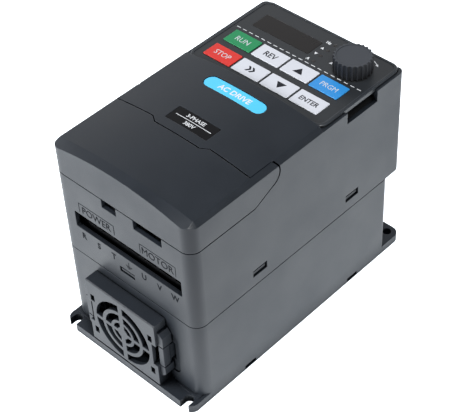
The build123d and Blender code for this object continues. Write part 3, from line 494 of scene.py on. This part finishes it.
# ---------------------------------------------------------------- marks on the terminal end
WALL_Y = -0.068                 # metres, the outer face of the terminal end
END_WALL = Matrix(((1, 0, 0, 0), (0, 0, -1, WALL_Y), (0, 1, 0, 0), (0, 0, 0, 1)))
WALL_LOW, WALL_HIGH = -0.01, 0.07
POLE_PITCH = 9.6
POLE_MIDDLE = 1.6               # the middle pole, the earth, is right of the centre
FRAME_LINE = 0.3

# the end-wall letters get a dark colour that paints the shade of moulded lettering
for n, text in enumerate(("R", "S", "T", "", "U", "V", "W")):
    if text:
        centre = (POLE_MIDDLE + POLE_PITCH * (n - 3), 63.7)
        lettering("pole_mark_" + text, text, 4.9, centre, WALL_LOW, WALL_HIGH, letter_shade_ink, "drive",
                  place=END_WALL, stretch=0.92, bold=0.10)
earth = [rectangle(1.42, 63.6, 1.78, 65.9), rectangle(-0.4, 63.3, 3.6, 63.6), rectangle(0.3, 62.6, 2.9, 62.9),
         rectangle(1.0, 61.9, 2.2, 62.2)]
keep("earth_mark", prisms(earth, WALL_LOW, WALL_HIGH, END_WALL), letter_shade_ink, "drive")

for name, text, x0, x1 in (("supply", "POWER", -28.2, -5.5), ("motor", "MOTOR", 10.4, 32.3)):
    lettering(name + "_word", text, 5.6, ((x0 + x1) / 2, 80.8), WALL_LOW, WALL_HIGH, letter_shade_ink, "drive",
              place=END_WALL, stretch=0.96)
    box = [rectangle(x0, 83.7, x1, 83.7 + FRAME_LINE), rectangle(x0, 78.4, x0 + FRAME_LINE, 83.7),
           rectangle(x1 - FRAME_LINE, 78.4, x1, 83.7)]
    keep(name + "_frame", prisms(box, WALL_LOW, WALL_HIGH, END_WALL), letter_shade_ink, "drive")

# ---------------------------------------------------------------- board parts
BOARD_SINK = 0.01
LEAD_LENGTH, LEAD_HALF_WIDTH, LEAD_HEIGHT = 0.9, 0.2, 0.35


def small_parts(name, body, spots, board_top):
    """Chips and ceramics with tinned leads, from (x, y, width, depth, height, leads a side)."""
    resin = bmesh.new()
    leads = bmesh.new()
    for x, y, width, depth, height, pins in spots:
        outline = rectangle(x - width / 2, y - depth / 2, x + width / 2, y + depth / 2)
        add_prism(resin, outline, board_top - BOARD_SINK, board_top + height)
        for pin in range(pins):
            px = x - width / 2 + (pin + 0.5) * width / pins
            for side in (-1, 1):
                y0 = y + side * depth / 2
                y1 = y0 + side * LEAD_LENGTH
                outline = rectangle(px - LEAD_HALF_WIDTH, min(y0, y1), px + LEAD_HALF_WIDTH, max(y0, y1))
                add_prism(leads, outline, board_top - BOARD_SINK, board_top + LEAD_HEIGHT)
    keep(name + "_resin", resin, chip, body)
    keep(name + "_leads", leads, tin, body)


rng = random.Random(7)
CERAMICS = 26
CERAMICS_NEAR = 10              # of them lie in a strip by the terminals
CERAMIC = (1.6, 0.8, 0.6, 1)
spots = [(-18, -20, 12, 12, 1.6, 12), (14, -18, 9, 6, 1.5, 8), (26, -22, 5, 4, 1.4, 4), (-2, -14, 5, 4, 1.4, 4),
         (20, 4, 10, 7, 2.2, 8), (2, 36, 12, 12, 1.6, 12), (24, 44, 6, 5, 1.5, 4)]
for n in range(CERAMICS):
    across = rng.uniform(-31, 31)
    lengthwise = rng.uniform(-27, -24) if n < CERAMICS_NEAR else rng.uniform(-8, 34)
    spots.append((across, lengthwise, *CERAMIC))
small_parts("control_parts", "drive", spots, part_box("control_board")[1].z / MM)

# ---------------------------------------------------------------- floor
FLOOR_HALF = 3.0
FLOOR_DROP = 0.0002             # just under the mounting face, in metres
FLOOR_GLOW = (1.34, 0.05)       # behind and in front of the fade
FADE_AHEAD = (0.090, 0.150)     # the lit floor fades out in front of the near corner

floor_mesh = bpy.data.meshes.new("floor")
bm = bmesh.new()
for x, y in ((-1, -1), (1, -1), (1, 1), (-1, 1)):
    bm.verts.new((x * FLOOR_HALF, y * FLOOR_HALF, -FLOOR_DROP))
bm.faces.new(bm.verts)
bm.to_mesh(floor_mesh)
bm.free()
floor = bpy.data.objects.new("floor", floor_mesh)
scene.collection.objects.link(floor)
floor_mat, tree, bsdf = new_material("floor")
speck = add_node(tree, "ShaderNodeTexNoise", Scale=6.0, Detail=2.0).outputs["Fac"]
paper = colour_ramp(tree, speck, [(0.3, (0.90, 0.90, 0.905)), (0.7, (0.93, 0.93, 0.93))])
tree.links.new(paper, bsdf.inputs["Base Color"])
bsdf.inputs["Roughness"].default_value = 0.7
bsdf.inputs["Specular IOR Level"].default_value = 0.1
bsdf.inputs["Emission Color"].default_value = (0.87, 0.94, 1.0, 1)
ahead = along(tree, object_place(tree), (0.707, -0.707, 0.0))
tree.links.new(map_range(tree, ahead, *FADE_AHEAD, *FLOOR_GLOW), bsdf.inputs["Emission Strength"])
floor_mesh.materials.append(floor_mat)

# ---------------------------------------------------------------- sky
WHITE = (1.0, 1.0, 1.0)
world = bpy.data.worlds.new("studio")
scene.world = world
world.use_nodes = True
tree = world.node_tree
background = tree.nodes["Background"]
direction = add_node(tree, "ShaderNodeTexCoord").outputs["Generated"]
height = height_of(tree, direction)
dome = colour_ramp(tree, height, [(0.0, WHITE), (0.50, WHITE), (0.74, (0.10, 0.12, 0.15)),
                                  (1.0, (0.01, 0.02, 0.03))])
# white low down all round, and higher up only on the far left, where the top surfaces mirror it
far_left = map_range(tree, along(tree, direction, (-0.80, 0.45, 0.0)), 0.20, 0.7, to_min=0.05)
skyline = map_range(tree, height, 0.16, 0.04)
lit_dome = add_node(tree, "ShaderNodeVectorMath", operation="SCALE")
tree.links.new(dome, lit_dome.inputs[0])
tree.links.new(calculate(tree, "MAXIMUM", far_left, skyline), lit_dome.inputs["Scale"])
tree.links.new(lit_dome.outputs[0], background.inputs["Color"])
background.inputs["Strength"].default_value = 1.0


# ---------------------------------------------------------------- lamps
def soft_box(name, place, target, size, power, colour):
    """A large soft area light aimed at a point."""
    data = bpy.data.lights.new(name, "AREA")
    data.shape = "RECTANGLE"
    data.size, data.size_y = size
    data.energy = power
    data.color = colour
    light = bpy.data.objects.new(name, data)
    light.location = place
    light.rotation_euler = (Vector(target) - Vector(place)).to_track_quat("-Z", "Y").to_euler()
    scene.collection.objects.link(light)


soft_box("end_box", (-0.62, -0.85, 0.60), (0, 0, 0.05), (0.5, 0.25), 10, (0.97, 0.98, 1.0))
soft_box("key_box", (0.55, -0.42, 1.10), (0, 0, 0.1), (0.55, 0.55), 14, (0.98, 0.99, 1.0))
